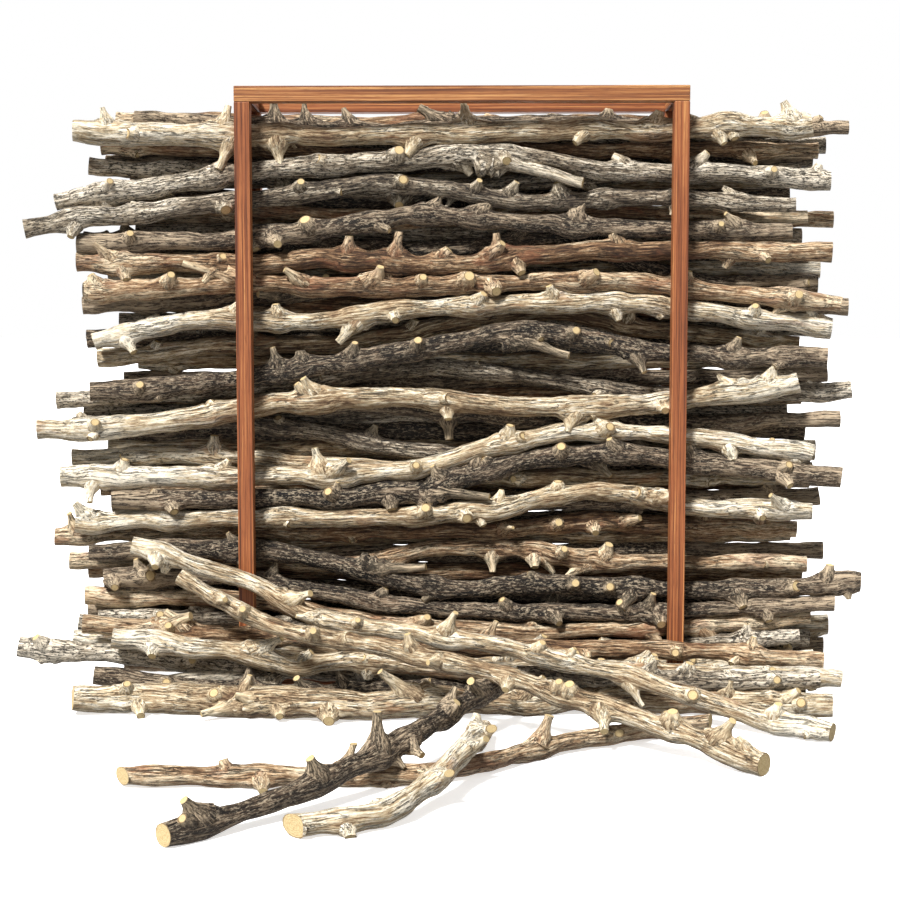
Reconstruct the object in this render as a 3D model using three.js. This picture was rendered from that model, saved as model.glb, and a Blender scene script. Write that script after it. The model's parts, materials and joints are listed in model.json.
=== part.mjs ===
// A bundle of cut twigs held in a tall, shallow open frame of square battens.
// Millimetres. +X runs to the viewer's right along the frame, +Y to the back, +Z up.
// The origin is the middle of the underside of the front bottom rail.

import * as THREE from "three";

// ---- Driving dimensions -------------------------------------------------------------

const BATTEN = 20; // side of the square wooden bar
const FRAME_WIDTH = 580;
const FRAME_HEIGHT = 790;
const FRAME_DEPTH = 120; // over both frames

// Twigs fill the clear depth between the two frames in three layers, front to back.
const FRONT_LAYER = 26; // depth of its middle
const INNER_LAYER = 53;
const REAR_LAYER = 78;

// Outside the frame nothing holds the twigs, so their ends spread towards the viewer.
const SPREAD_FROM = 310; // from the frame's middle
const SPREAD_OVER = 250;

const TWIG_SIDES = 7;
const TWIG_STEP = 80; // length of one straight stretch of a twig's solid

// The rear layer's twigs share one block, as long and as tall as they reach together.
const REAR_BLOCK = { left: -520, right: 500, bottom: 22, top: 762, thickness: 22 };

// ---- Materials ----------------------------------------------------------------------

const FRAME_WOOD = { color: 0xa86238, roughness: 0.5 };
const PALE = { color: 0xc4b494, roughness: 0.85 };
const GREY = { color: 0x96907f, roughness: 0.9 };
const DARK = { color: 0x4a3e33, roughness: 0.95 };
const BROWN = { color: 0x9c7a5a, roughness: 0.88 };

function materialOf(look) {
  return new THREE.MeshStandardMaterial({ ...look, metalness: 0 });
}

// ---- The frame ----------------------------------------------------------------------

// A batten, named, from its size and the place of its middle.
function batten(name, size, middle) {
  const mesh = new THREE.Mesh(new THREE.BoxGeometry(...size), materialOf(FRAME_WOOD));
  mesh.name = name;
  mesh.position.set(...middle);
  return mesh;
}

// One upright frame: a top rail across the whole width, two legs under it, and a bottom rail
// between the legs.
function uprightFrame(side, depth) {
  const legHeight = FRAME_HEIGHT - BATTEN;
  const legX = (FRAME_WIDTH - BATTEN) / 2;
  const clearWidth = FRAME_WIDTH - 2 * BATTEN;
  return [
    batten(`${side}_top_rail`, [FRAME_WIDTH, BATTEN, BATTEN], [0, depth, FRAME_HEIGHT - BATTEN / 2]),
    batten(`${side}_bottom_rail`, [clearWidth, BATTEN, BATTEN], [0, depth, BATTEN / 2]),
    batten(`${side}_left_leg`, [BATTEN, BATTEN, legHeight], [-legX, depth, legHeight / 2]),
    batten(`${side}_right_leg`, [BATTEN, BATTEN, legHeight], [legX, depth, legHeight / 2]),
  ];
}

// The four short battens that join the front frame to the rear frame at its corners.
function cornerSpacers() {
  const length = FRAME_DEPTH - 2 * BATTEN;
  const x = (FRAME_WIDTH - BATTEN) / 2;
  const depth = (FRAME_DEPTH - BATTEN) / 2;
  const spacers = [];
  for (const [level, z] of [["top", FRAME_HEIGHT - BATTEN / 2], ["bottom", BATTEN / 2]]) {
    for (const [side, sign] of [["left", -1], ["right", 1]]) {
      spacers.push(batten(`${level}_${side}_spacer`, [BATTEN, length, BATTEN], [sign * x, depth, z]));
    }
  }
  return spacers;
}

// ---- Twigs --------------------------------------------------------------------------

// A twig: a many-sided bar swept along a crooked line, thinner towards its second end.
function twig(name, look, radii, points) {
  const line = new THREE.CatmullRomCurve3(
    points.map((p) => new THREE.Vector3(...p)),
    false,
    "centripetal",
  );
  const steps = Math.round(line.getLength() / TWIG_STEP);
  const stations = line.getSpacedPoints(steps);
  const geometry = new THREE.ExtrudeGeometry(roundSection(), {
    steps,
    extrudePath: line,
    bevelEnabled: false,
  });
  taper(geometry, stations, radii);
  const mesh = new THREE.Mesh(geometry, materialOf(look));
  mesh.name = name;
  return mesh;
}

// A regular outline of 1 mm radius, which the taper brings to size.
function roundSection() {
  const corners = [];
  for (let i = 0; i < TWIG_SIDES; i += 1) {
    const angle = (2 * Math.PI * i) / TWIG_SIDES;
    corners.push(new THREE.Vector2(Math.cos(angle), Math.sin(angle)));
  }
  return new THREE.Shape(corners);
}

// Moves each corner out from its own station on the line to the radius that holds there.
function taper(geometry, stations, [startRadius, endRadius]) {
  const position = geometry.getAttribute("position");
  const corner = new THREE.Vector3();
  for (let i = 0; i < position.count; i += 1) {
    corner.fromBufferAttribute(position, i);
    const gaps = stations.map((s) => s.distanceTo(corner));
    const nearest = gaps.indexOf(Math.min(...gaps));
    const share = nearest / (stations.length - 1);
    const radius = THREE.MathUtils.lerp(startRadius, endRadius, share);
    corner.sub(stations[nearest]).multiplyScalar(radius).add(stations[nearest]);
    position.setXYZ(i, corner.x, corner.y, corner.z);
  }
}

// A layer inside the frame. Each row is a look, the radii at the left and the right end, and
// the line as [x, height] points. Ends outside the frame spread by up to `spread`.
function layer(prefix, depth, spread, rows) {
  return rows.map(([look, radii, line], index) => {
    const reach = spread * (0.55 + 0.45 * Math.sin(2.4 * index));
    const points = line.map(([x, z]) => {
      const outside = Math.max(0, Math.abs(x) - SPREAD_FROM) / SPREAD_OVER;
      return [x, depth - reach * outside, z];
    });
    return twig(`${prefix}_twig_${String(index + 1).padStart(2, "0")}`, look, radii, points);
  });
}

// The front layer, from the bottom rail up to the top rail.
function frontLayer() {
  return layer("front", FRONT_LAYER, 22, [
    [PALE, [12, 10], [[-515, 72], [-300, 66], [-100, 44], [100, 34], [300, 36], [465, 50]]],
    [GREY, [12, 10], [[-480, 102], [-300, 97], [-150, 72], [0, 61], [200, 60], [445, 80]]],
    [BROWN, [12, 10], [[-500, 128], [-300, 124], [-150, 99], [0, 86], [200, 84], [460, 101]]],
    [DARK, [12, 11], [[-470, 154], [-300, 152], [-150, 127], [0, 110], [200, 108], [490, 123]]],
    [DARK, [13, 12],
      [[-490, 187], [-280, 190], [-145, 168], [-40, 139], [115, 146], [280, 136], [525, 149]]],
    [PALE, [13, 12],
      [[-510, 227], [-385, 231], [-80, 236], [75, 250], [145, 268], [210, 268], [270, 252], [460, 242]]],
    [DARK, [12, 14],
      [[-460, 257], [-300, 258], [-135, 263], [-55, 270], [50, 302], [180, 320], [275, 311], [495, 288]]],
    [PALE, [14, 12],
      [[-530, 288], [-300, 287], [-135, 291], [-55, 299], [50, 331], [180, 348], [300, 339], [460, 317]]],
    [PALE, [15, 13],
      [[-555, 350], [-480, 350], [-295, 375], [-210, 388], [-80, 391], [130, 377], [275, 388], [440, 411]]],
    [DARK, [13, 13],
      [[-485, 402], [-380, 405], [-250, 424], [-80, 452], [50, 474], [130, 479], [200, 458], [475, 443]]],
    [PALE, [12, 13],
      [[-480, 466], [-410, 482], [-295, 496], [-210, 488], [-120, 500], [50, 514], [180, 516], [480, 484]]],
    [BROWN, [13, 12],
      [[-490, 530], [-300, 540], [-100, 536], [50, 542], [200, 543], [350, 528], [490, 513]]],
    [BROWN, [13, 13],
      [[-500, 569], [-240, 567], [-145, 574], [-55, 565], [50, 572], [130, 580], [300, 584], [480, 579]]],
    [DARK, [13, 12],
      [[-500, 594], [-275, 599], [-80, 628], [-30, 630], [50, 623], [200, 612], [430, 608]]],
    [GREY, [13, 10],
      [[-565, 612], [-400, 634], [-235, 655], [-85, 671], [25, 652], [130, 648], [230, 652], [430, 642]]],
    [GREY, [14, 12],
      [[-530, 646], [-295, 682], [-90, 700], [50, 708], [180, 688], [360, 683], [475, 672]]],
    [PALE, [14, 13], [[-500, 735], [-235, 732], [-80, 731], [60, 738], [200, 739], [450, 740]]],
  ]);
}

// The inner layer, which shows in the gaps between the front ones, from the bottom up.
function innerLayer() {
  return layer("inner", INNER_LAYER, 5, [
    [BROWN, [12, 12], [[-495, 52], [-250, 42], [0, 38], [250, 42], [485, 38]]],
    [GREY, [12, 11], [[-515, 86], [-250, 80], [0, 92], [250, 82], [465, 68]]],
    [DARK, [11, 12], [[-500, 126], [-200, 134], [0, 126], [200, 128], [465, 102]]],
    [BROWN, [11, 12],
      [[-525, 170], [-350, 174], [-200, 166], [-125, 168], [-40, 187], [50, 187], [195, 172], [460, 170]]],
    [BROWN, [12, 12], [[-545, 206], [-300, 211], [-100, 212], [50, 216], [200, 224], [445, 214]]],
    [DARK, [12, 12], [[-460, 250], [-200, 246], [0, 252], [200, 252], [475, 262]]],
    [PALE, [12, 12], [[-520, 310], [-300, 311], [-145, 298], [0, 286], [150, 282], [440, 288]]],
    [GREY, [12, 12],
      [[-520, 352], [-400, 360], [-270, 356], [-145, 335], [-15, 315], [150, 312], [460, 322]]],
    [DARK, [11, 12], [[-200, 381], [-15, 372], [150, 356], [300, 354], [500, 364]]],
    [GREY, [12, 12],
      [[-540, 387], [-300, 402], [-145, 420], [-15, 430], [130, 412], [235, 396], [515, 402]]],
    [PALE, [12, 12],
      [[-485, 441], [-295, 462], [-170, 460], [-60, 480], [50, 499], [140, 502], [220, 486], [445, 462]]],
    [DARK, [12, 12],
      [[-500, 514], [-300, 522], [-100, 545], [50, 550], [165, 548], [275, 518], [510, 510]]],
    [DARK, [11, 13],
      [[-500, 600], [-200, 592], [-60, 582], [50, 595], [165, 595], [205, 576], [275, 549], [470, 540]]],
    [BROWN, [12, 11], [[-500, 650], [-300, 640], [-100, 626], [50, 632], [200, 636], [455, 626]]],
    [GREY, [12, 11], [[-490, 695], [-300, 685], [-100, 660], [100, 676], [250, 686], [440, 686]]],
    [BROWN, [12, 11], [[-475, 722], [-250, 714], [-100, 706], [100, 713], [300, 715], [465, 715]]],
    [DARK, [11, 10], [[-430, 757], [-150, 742], [100, 750], [300, 744], [505, 744]]],
  ]);
}

// The block that the twigs of the rear layer fill.
function rearLayer() {
  const { left, right, bottom, top, thickness } = REAR_BLOCK;
  const geometry = new THREE.BoxGeometry(right - left, thickness, top - bottom);
  const mesh = new THREE.Mesh(geometry, materialOf(BROWN));
  mesh.name = "rear_twigs";
  mesh.position.set((left + right) / 2, REAR_LAYER, (bottom + top) / 2);
  return mesh;
}

// The heap at the frame's foot and the twigs that lean on it or lie before it.
function heap() {
  return [
    twig("heap_low_twig", GREY, [13, 11], [
      [-575, -25, 70], [-405, -26, 57], [-250, -25, 42], [0, -25, 30], [200, -25, 28], [420, -25, 26],
    ]),
    twig("heap_high_twig", BROWN, [13, 11], [
      [-490, -25, 100], [-300, -25, 86], [-100, -25, 78],
      [100, -25, 70], [270, -25, 68], [465, -25, 54],
    ]),
    twig("heap_dark_twig", DARK, [12, 11], [
      [-470, -52, 38], [-305, -54, 20], [-190, -52, 14], [-95, -52, 26],
      [20, -54, 18], [200, -54, 13], [440, -54, 13],
    ]),
    twig("heap_front_twig", PALE, [13, 11], [
      [-445, -54, 88], [-285, -54, 70], [-190, -54, 50], [-125, -54, 58],
      [0, -56, 48], [180, -56, 52], [300, -54, 44], [485, -54, 38],
    ]),
    twig("heap_thick_twig", PALE, [19, 15], [
      [-485, -102, 20], [-400, -88, 20], [-270, -102, 19], [-140, -128, 19],
      [-15, -102, 18], [200, -88, 17], [465, -98, 15],
    ]),
    twig("heap_right_twig", GREY, [11, 12], [
      [70, -86, 48], [200, -88, 47], [330, -92, 43], [450, -84, 44],
    ]),
    twig("short_leaning_twig", PALE, [11, 12], [
      [-425, -28, 204], [-285, -36, 160], [-215, -48, 138],
      [-190, -60, 118], [-65, -84, 103], [50, -100, 88],
      [160, -118, 66], [260, -140, 44], [335, -172, 22], [435, -222, 13],
    ]),
    twig("long_leaning_twig", PALE, [10, 12], [
      [-358, -58, 168], [-323, -68, 144], [-260, -86, 126],
      [-211, -104, 106], [-103, -138, 97], [-32, -162, 84],
      [48, -192, 72], [124, -228, 56], [187, -260, 43], [247, -294, 31], [330, -360, 13],
    ]),
    twig("loose_brown_twig", BROWN, [11, 10], [
      [-355, -410, 12], [-170, -405, 12], [-60, -397, 12], [-5, -385, 12],
      [85, -295, 12], [190, -230, 12], [300, -175, 12],
    ]),
    twig("loose_dark_twig", DARK, [12, 12], [
      [-275, -600, 12], [-160, -500, 24], [-90, -425, 38],
      [-35, -320, 45], [0, -240, 47], [52, -140, 50],
    ]),
    twig("loose_pale_twig", PALE, [12, 11], [
      [-155, -572, 12], [-88, -550, 13], [-32, -480, 24], [2, -400, 38],
      [14, -330, 33], [24, -260, 20], [28, -215, 12],
    ]),
  ];
}

// ---- The whole ----------------------------------------------------------------------

const bundle = new THREE.Group();
bundle.name = "bundle_of_twigs";
bundle.add(...uprightFrame("front", 0));
bundle.add(...uprightFrame("rear", FRAME_DEPTH - BATTEN));
bundle.add(...cornerSpacers());
bundle.add(...frontLayer());
bundle.add(...innerLayer());
bundle.add(rearLayer());
bundle.add(...heap());

export default bundle;
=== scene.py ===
# %% [markdown]
# # A bundle of twigs in a batten frame
# Some sixty-five crooked cut twigs lie level in a tall, shallow, open frame of reddish battens.
# More are heaped at its foot, two lean on the heap, and three lie loose on the floor.
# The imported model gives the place, the length and the thickness of every twig. Here each one gets
# what makes it a twig: bends, knots, cut stubs, cracked bark and pale cut ends.

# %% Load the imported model
import json
import math
import random

import bmesh
import bpy
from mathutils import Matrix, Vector


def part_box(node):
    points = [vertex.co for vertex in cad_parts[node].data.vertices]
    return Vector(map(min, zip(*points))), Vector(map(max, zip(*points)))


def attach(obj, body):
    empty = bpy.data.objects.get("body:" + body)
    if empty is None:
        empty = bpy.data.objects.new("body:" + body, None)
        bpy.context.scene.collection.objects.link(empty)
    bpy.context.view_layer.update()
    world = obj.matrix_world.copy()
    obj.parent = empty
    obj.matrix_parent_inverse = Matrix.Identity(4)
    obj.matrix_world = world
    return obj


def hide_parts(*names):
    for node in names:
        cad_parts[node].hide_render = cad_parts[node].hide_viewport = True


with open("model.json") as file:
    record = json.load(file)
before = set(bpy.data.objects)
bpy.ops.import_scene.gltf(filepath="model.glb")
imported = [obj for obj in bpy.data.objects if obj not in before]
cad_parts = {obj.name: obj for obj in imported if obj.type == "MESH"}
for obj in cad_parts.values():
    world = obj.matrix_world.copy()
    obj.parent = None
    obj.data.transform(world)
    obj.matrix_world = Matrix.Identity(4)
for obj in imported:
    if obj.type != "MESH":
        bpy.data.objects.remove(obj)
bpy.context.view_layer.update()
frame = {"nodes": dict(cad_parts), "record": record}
twig_nodes = sorted(name for name in frame["nodes"] if "_twig" in name and name != "rear_twigs")
bar_nodes = sorted(name for name in frame["nodes"] if name.endswith(("_rail", "_leg", "_spacer")))
MM = 0.001
CLEAR_HALF_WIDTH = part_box("front_right_leg")[0].x  # from the middle to the inside of a leg
print(len(twig_nodes), "twigs and", len(bar_nodes), "battens")

# %% [markdown]
# ## Writing node trees as sums
# A node tree is easier to read as arithmetic than as boxes and links. `Wire` stands for one output of
# a node, and `+`, `-`, `*` and `/` on wires add Math or Vector Math nodes. `Tree.add` makes any other
# node: its settings are set first, then the values or wires of its inputs. The same two classes
# serve for materials and for Geometry Nodes.


# %% Wires and trees
class Wire:
    """One output of a node, which can be used in arithmetic."""

    def __init__(self, tree, socket):
        self.tree = tree
        self.socket = socket

    def math(self, operation, first, *others):
        values = (first, *others)
        kinds = {value.socket.type for value in values if isinstance(value, Wire)}
        if kinds & {"VECTOR", "RGBA"}:
            return self.tree.vector_math(operation, *values)
        return self.tree.add("ShaderNodeMath", {"operation": operation}, dict(enumerate(values)))

    def other(self, name):
        """Another output of the same node."""
        return Wire(self.tree, self.socket.node.outputs[name])

    def __add__(self, other):
        return self.math("ADD", self, other)

    def __radd__(self, other):
        return self.math("ADD", other, self)

    def __sub__(self, other):
        return self.math("SUBTRACT", self, other)

    def __rsub__(self, other):
        return self.math("SUBTRACT", other, self)

    def __mul__(self, other):
        return self.math("MULTIPLY", self, other)

    def __rmul__(self, other):
        return self.math("MULTIPLY", other, self)

    def __truediv__(self, other):
        return self.math("DIVIDE", self, other)

    def __rtruediv__(self, other):
        return self.math("DIVIDE", other, self)

    def clamped(self):
        return self.tree.add("ShaderNodeClamp", {}, {"Value": self})

    def more_than(self, value):
        return self.tree.add("ShaderNodeMath", {"operation": "GREATER_THAN"}, {0: self, 1: value})

    def ramp(self, low, high):
        """0 below low, 1 above high, and smooth between."""
        settings = {"interpolation_type": "SMOOTHSTEP"}
        values = {"Value": self, "From Min": low, "From Max": high}
        return self.tree.add("ShaderNodeMapRange", settings, values)


class Tree:
    """A node tree, with one method for every kind of node."""

    def __init__(self, tree):
        self.tree = tree

    def add(self, kind, settings=None, inputs=None, output=0):
        """A new node, as the wire of one of its outputs. The setting "stops" fills a colour ramp."""
        node = self.tree.nodes.new(kind)
        for key, value in (settings or {}).items():
            if key == "stops":
                self.set_stops(node.color_ramp, value)
            else:
                setattr(node, key, value)
        for key, value in (inputs or {}).items():
            if isinstance(value, Wire):
                self.tree.links.new(value.socket, node.inputs[key])
            else:
                node.inputs[key].default_value = value
        return Wire(self, node.outputs[output]) if node.outputs else node

    @staticmethod
    def set_stops(ramp, stops):
        while len(ramp.elements) < len(stops):
            ramp.elements.new(1.0)
        for element, (place, colour) in zip(ramp.elements, stops):
            element.position = place
            element.color = (*colour, 1.0)

    def vector_math(self, operation, first, *others):
        inputs = {}
        for i, value in enumerate((first, *others)):
            inputs[i] = value if isinstance(value, (Wire, tuple)) else (value, value, value)
        output = "Value" if operation == "LENGTH" else "Vector"
        return self.add("ShaderNodeVectorMath", {"operation": operation}, inputs, output)

    def scaled(self, vector, factor):
        values = {"Vector": vector, "Scale": factor}
        return self.add("ShaderNodeVectorMath", {"operation": "SCALE"}, values)

    def noise(self, vector, detail=2.0, roughness=0.5, distortion=0.0):
        values = {"Vector": vector, "Scale": 1.0, "Detail": detail}
        values |= {"Roughness": roughness, "Distortion": distortion}
        return self.add("ShaderNodeTexNoise", {}, values)

    def blend(self, share, first, second):
        """A colour between two colours."""
        values = {0: share, 6: first, 7: second}
        return self.add("ShaderNodeMix", {"data_type": "RGBA"}, values, 2)


print("wires and trees are ready")

# %% [markdown]
# ## Bark and bare wood
# Bark follows its twig, so its pattern needs coordinates that do too. Each twig's mesh carries an
# attribute `grain`: two numbers that go round the twig and one that runs along it, in metres. Noise
# read on it, squeezed along the twig, gives long streaks and cracks. A second attribute, `tone`, is
# one number for each twig, so that twigs of one kind still differ. The ends that stick out of the
# frame get painted light: they are made paler, as if more light reached them than the shaded middle,
# and a mask on the place finds them.


# %% Colours and shared inputs
def linear(value):
    """A paint chart's value from 0 to 255 on the sRGB curve, as the linear one that Blender wants."""
    share = value / 255
    return share / 12.92 if value < 10 else ((share + 0.055) / 1.055) ** 2.4


def colour(red, green, blue):
    """A colour written as on a paint chart, in linear values."""
    return linear(red), linear(green), linear(blue)


def new_material(name):
    """An empty material, and its node tree."""
    material = bpy.data.materials.new(name)
    material.use_nodes = True
    material.node_tree.nodes.clear()
    return material, Tree(material.node_tree)


def attribute(tree, name, output):
    """An attribute of the mesh, as a "Vector" or as one number, "Fac"."""
    return tree.add("ShaderNodeAttribute", {"attribute_name": name}, {}, output)


def finish_material(tree, base, roughness, height, distance):
    """A matt surface of that colour, with fine relief from height."""
    bump = tree.add("ShaderNodeBump", {}, {"Strength": 1.0, "Distance": distance, "Height": height})
    values = {"Base Color": base, "Roughness": roughness, "Normal": bump, "Specular IOR Level": 0.3}
    surface = tree.add("ShaderNodeBsdfPrincipled", {}, values)
    tree.add("ShaderNodeOutputMaterial", {}, {"Surface": surface})


# Painted light: the ends outside the frame are made paler, as if lit more than the shaded middle.
FADE = 0.16  # metres over which the ends outside the frame turn pale


def painted_end_light(tree):
    """Painted light: 0 inside the frame, and up to 1 on the ends that stick out of it, which are made
    paler as if more light fell on them.
    """
    place = tree.add("ShaderNodeTexCoord", {}, {}, "Object")
    sideways = tree.add("ShaderNodeSeparateXYZ", {}, {"Vector": place})
    far_out = tree.add("ShaderNodeMath", {"operation": "ABSOLUTE"}, {0: sideways})
    return far_out.ramp(CLEAR_HALF_WIDTH, CLEAR_HALF_WIDTH + FADE)


print("a middle grey is", round(linear(128), 3), "in linear values")


# %% Patterns in bark
# How often each pattern changes in a metre: two numbers across the grain, and one along it.
STREAKS = (140.0, 140.0, 9.0)
FIBRES = (460.0, 460.0, 40.0)
CLOUDS = (24.0, 24.0, 15.0)
BARE_PATCHES = (34.0, 34.0, 11.0)
SPECKS = (420.0, 420.0, 150.0)
CRACKS = (210.0, 210.0, 12.0)
print("a streak is", round(STREAKS[0] / STREAKS[2]), "times as long as it is wide")


# %% Twig bark
CRACK_COLOUR = colour(24, 17, 11)
PEELED = colour(226, 208, 172)


def bark(name, shades, patch, patch_from, fleck, fleck_share, crack_depth, peel_share):
    """Streaked and cracked wood: four shades from dark to light, patches where the outer skin has
    gone, and flecks. Towards the tip of a stub the wood is peeled and pale. The skin is gone where
    its noise is over patch_from, and the last three numbers, from 0 to 1, are strengths."""
    material, tree = new_material(name)
    grain = attribute(tree, "grain", "Vector")
    tone = attribute(tree, "tone", "Fac")
    peel = attribute(tree, "peel", "Fac")
    wide = tree.noise(grain * STREAKS, 6.0, 0.7, 0.6)
    fine = tree.noise(grain * FIBRES, 5.0, 0.76, 0.3)
    cloud = tree.noise(grain * CLOUDS, 3.0, 0.6)
    shade = (wide - 0.5) * 1.6 + (fine - 0.5) * 2.3 + (cloud - 0.5) * 1.1
    # The ends outside the frame are made paler here: painted light, for the light that reaches them out
    # of the frame's shade.
    shade = shade + (tone - 0.5) * 0.3 + peel * 0.3 + painted_end_light(tree) * 0.27 + 0.5
    stops = list(zip((0.1, 0.38, 0.62, 0.92), shades))
    base = tree.add("ShaderNodeValToRGB", {"stops": stops}, {"Fac": shade})
    bare = tree.noise(grain * BARE_PATCHES, 3.0, 0.6, 0.8).ramp(patch_from, patch_from + 0.07)
    base = tree.blend(bare * (fine * 0.9), base, (*patch, 1.0))
    base = tree.blend(peel * peel_share * (0.2 + wide * 0.9), base, (*PEELED, 1.0))
    speck = tree.noise(grain * SPECKS, 4.0, 0.72).ramp(0.51, 0.58)
    speck = speck * fleck_share * (1.0 - peel)
    base = tree.blend(speck, base, (*fleck, 1.0))
    # A crack runs where its noise passes through the middle of its range.
    line = tree.noise(grain * CRACKS, 5.0, 0.66, 0.9) - 0.5
    near = tree.add("ShaderNodeMath", {"operation": "ABSOLUTE"}, {0: line})
    crack = (1.0 - near.ramp(0.004, 0.026)) * cloud.ramp(0.36, 0.52)
    base = tree.blend(crack * crack_depth, base, (*CRACK_COLOUR, 1.0))
    height = wide * 0.6 + fine * 0.7 + speck * 0.25 - crack * 0.9
    finish_material(tree, base, 0.76 + fine * 0.2, height, 2.0 * MM)
    return material


print("bark is peeled to", tuple(round(value, 2) for value in PEELED))

# %% [markdown]
# ## Four kinds of bark
# The pile mixes pale bare wood, grey bark, dark bark with pale flecks, and brown wood. One function
# makes all four, because they differ only in colour and in how strong the flecks, the cracks and the
# peeling are.

# %% Four kinds of bark
BLACK_FLECK = colour(30, 25, 20)
PALE_FLECK = colour(182, 165, 140)
PALE_SHADES = [colour(80, 58, 40), colour(152, 127, 96), colour(199, 180, 147), colour(238, 228, 208)]
GREY_SHADES = [colour(44, 36, 29), colour(112, 98, 81), colour(170, 156, 134), colour(226, 214, 194)]
DARK_SHADES = [colour(14, 11, 8), colour(42, 34, 26), colour(84, 69, 55), colour(176, 156, 130)]
BROWN_SHADES = [colour(58, 38, 24), colour(124, 93, 65), colour(178, 149, 115), colour(226, 206, 174)]
PALE_PATCH = colour(148, 104, 70)
GREY_PATCH = colour(122, 96, 72)
DARK_PATCH = colour(96, 72, 54)
BROWN_PATCH = colour(134, 84, 58)
bark_of = {
    "pale_twig": bark("pale_wood", PALE_SHADES, PALE_PATCH, 0.6, BLACK_FLECK, 0.3, 0.8, 0.9),
    "grey_twig": bark("grey_bark", GREY_SHADES, GREY_PATCH, 0.63, BLACK_FLECK, 0.85, 0.75, 0.55),
    "dark_twig": bark("dark_bark", DARK_SHADES, DARK_PATCH, 0.64, PALE_FLECK, 0.65, 0.9, 0.4),
    "brown_twig": bark("brown_wood", BROWN_SHADES, BROWN_PATCH, 0.57, BLACK_FLECK, 0.4, 0.85, 0.8),
}
print("bark:", ", ".join(sorted(bark_of)))

# %% [markdown]
# ## Cut ends
# A saw or a knife leaves a pale yellow face with a dark rim of bark and faint growth rings. The mesh
# carries `across`, the offset of each point from the middle of its twig in twig radii, so its length
# is 0 in the pith and 1 at the bark.


# %% Cut wood
def cut_wood():
    """Pale end grain, with rings round the pith, saw marks and a dark rim."""
    material, tree = new_material("cut_wood")
    across = attribute(tree, "across", "Vector")
    out = tree.vector_math("LENGTH", across)
    wobble = tree.noise(across * 3.0, 2.0)
    rings = tree.add("ShaderNodeMath", {"operation": "SINE"}, {0: out * 34.0 + wobble * 7.0})
    stops = [(0.0, colour(180, 150, 102)), (1.0, colour(214, 196, 150))]
    base = tree.add("ShaderNodeValToRGB", {"stops": stops}, {"Fac": rings * 0.2 + 0.6})
    saw = tree.noise(across * 6.0, 4.0)
    base = tree.blend(saw.ramp(0.42, 0.7) * 0.6, base, (*colour(168, 134, 88), 1.0))
    base = tree.blend(out.ramp(0.84, 1.04) * 0.8, base, (*colour(96, 72, 48), 1.0))
    finish_material(tree, base, 0.8 + saw * 0.1, rings * 0.2 + saw, 0.4 * MM)
    return material


cut_face = cut_wood()
print("cut faces:", cut_face.name)

# %% [markdown]
# ## The batten wood
# The frame is oiled reddish wood, sawn along the grain, so its colour runs in straight stripes along
# each bar. Its bars carry `grain` too, with the long axis of the bar as the third number. The front
# top rail is more golden than the other bars. The rear top rail takes the darker wood of the legs,
# a painted shade for the shade it lies in.


# %% Batten wood
def batten_wood(name, shades):
    """Striped wood in four shades from dark to light, with dark pores."""
    material, tree = new_material(name)
    grain = attribute(tree, "grain", "Vector")
    wide = tree.noise(grain * (330.0, 330.0, 2.2), 3.0, 0.6, 0.3)
    fine = tree.noise(grain * (1200.0, 1200.0, 12.0), 3.0, 0.65)
    stops = list(zip((0.16, 0.4, 0.6, 0.86), shades))
    shade = (wide - 0.5) * 1.8 + (fine - 0.5) * 1.1 + 0.49
    base = tree.add("ShaderNodeValToRGB", {"stops": stops}, {"Fac": shade})
    pore = tree.noise(grain * (1500.0, 1500.0, 55.0), 1.0).ramp(0.62, 0.72)
    base = tree.blend(pore * 0.5, base, (*colour(82, 42, 25), 1.0))
    finish_material(tree, base, 0.42 + fine * 0.25, fine - pore * 0.5, 0.3 * MM)
    return material


RAIL_SHADES = [colour(80, 42, 22), colour(130, 78, 43), colour(160, 106, 61), colour(202, 153, 97)]
LEG_SHADES = [colour(70, 34, 18), colour(123, 68, 38), colour(151, 89, 51), colour(192, 136, 82)]
rail_wood = batten_wood("rail_wood", RAIL_SHADES)
leg_and_shaded_rail_wood = batten_wood("leg_and_shaded_rail_wood", LEG_SHADES)
print("frame:", rail_wood.name, leg_and_shaded_rail_wood.name)

# %% [markdown]
# ## The frame's bars
# A real batten is planed, with its edges broken by a stroke of sandpaper. Each bar is a copy of its
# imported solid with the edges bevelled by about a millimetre.

# %% Battens
EDGE = 1.1 * MM
GRAIN_SHIFT = 3.7  # from one bar to the next, so that no two have the same stripes


def finished_bar(node):
    """A bevelled copy of a batten, with its grain along its longest side."""
    shape = bmesh.new()
    shape.from_mesh(frame["nodes"][node].data)
    bmesh.ops.remove_doubles(shape, verts=shape.verts, dist=0.01 * MM)
    bmesh.ops.dissolve_limit(shape, angle_limit=0.01, verts=shape.verts, edges=shape.edges)
    bmesh.ops.bevel(shape, geom=shape.edges, offset=EDGE, segments=2, profile=0.5, affect="EDGES")
    mesh = bpy.data.meshes.new(node + "_finished")
    shape.to_mesh(mesh)
    shape.free()
    low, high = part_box(node)
    size = high - low
    long_axis = max(range(3), key=lambda i: size[i])
    short_axes = [i for i in range(3) if i != long_axis]
    layer = mesh.attributes.new("grain", "FLOAT_VECTOR", "POINT")
    shift = GRAIN_SHIFT * bar_nodes.index(node)
    for vertex, value in zip(mesh.vertices, layer.data):
        across = (vertex.co[i] + 0.3 * shift for i in short_axes)
        value.vector = (*across, vertex.co[long_axis] + shift)
    # The rear top rail takes the darker leg wood: painted shade, since it lies in shade.
    mesh.materials.append(rail_wood if node == "front_top_rail" else leg_and_shaded_rail_wood)
    piece = bpy.data.objects.new(node + "_finished", mesh)
    bpy.context.scene.collection.objects.link(piece)
    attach(piece, "root")
    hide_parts(node)
    return piece


bars = [finished_bar(node) for node in bar_nodes]
print(len(bars), "battens bevelled by", EDGE / MM, "mm")

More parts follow.
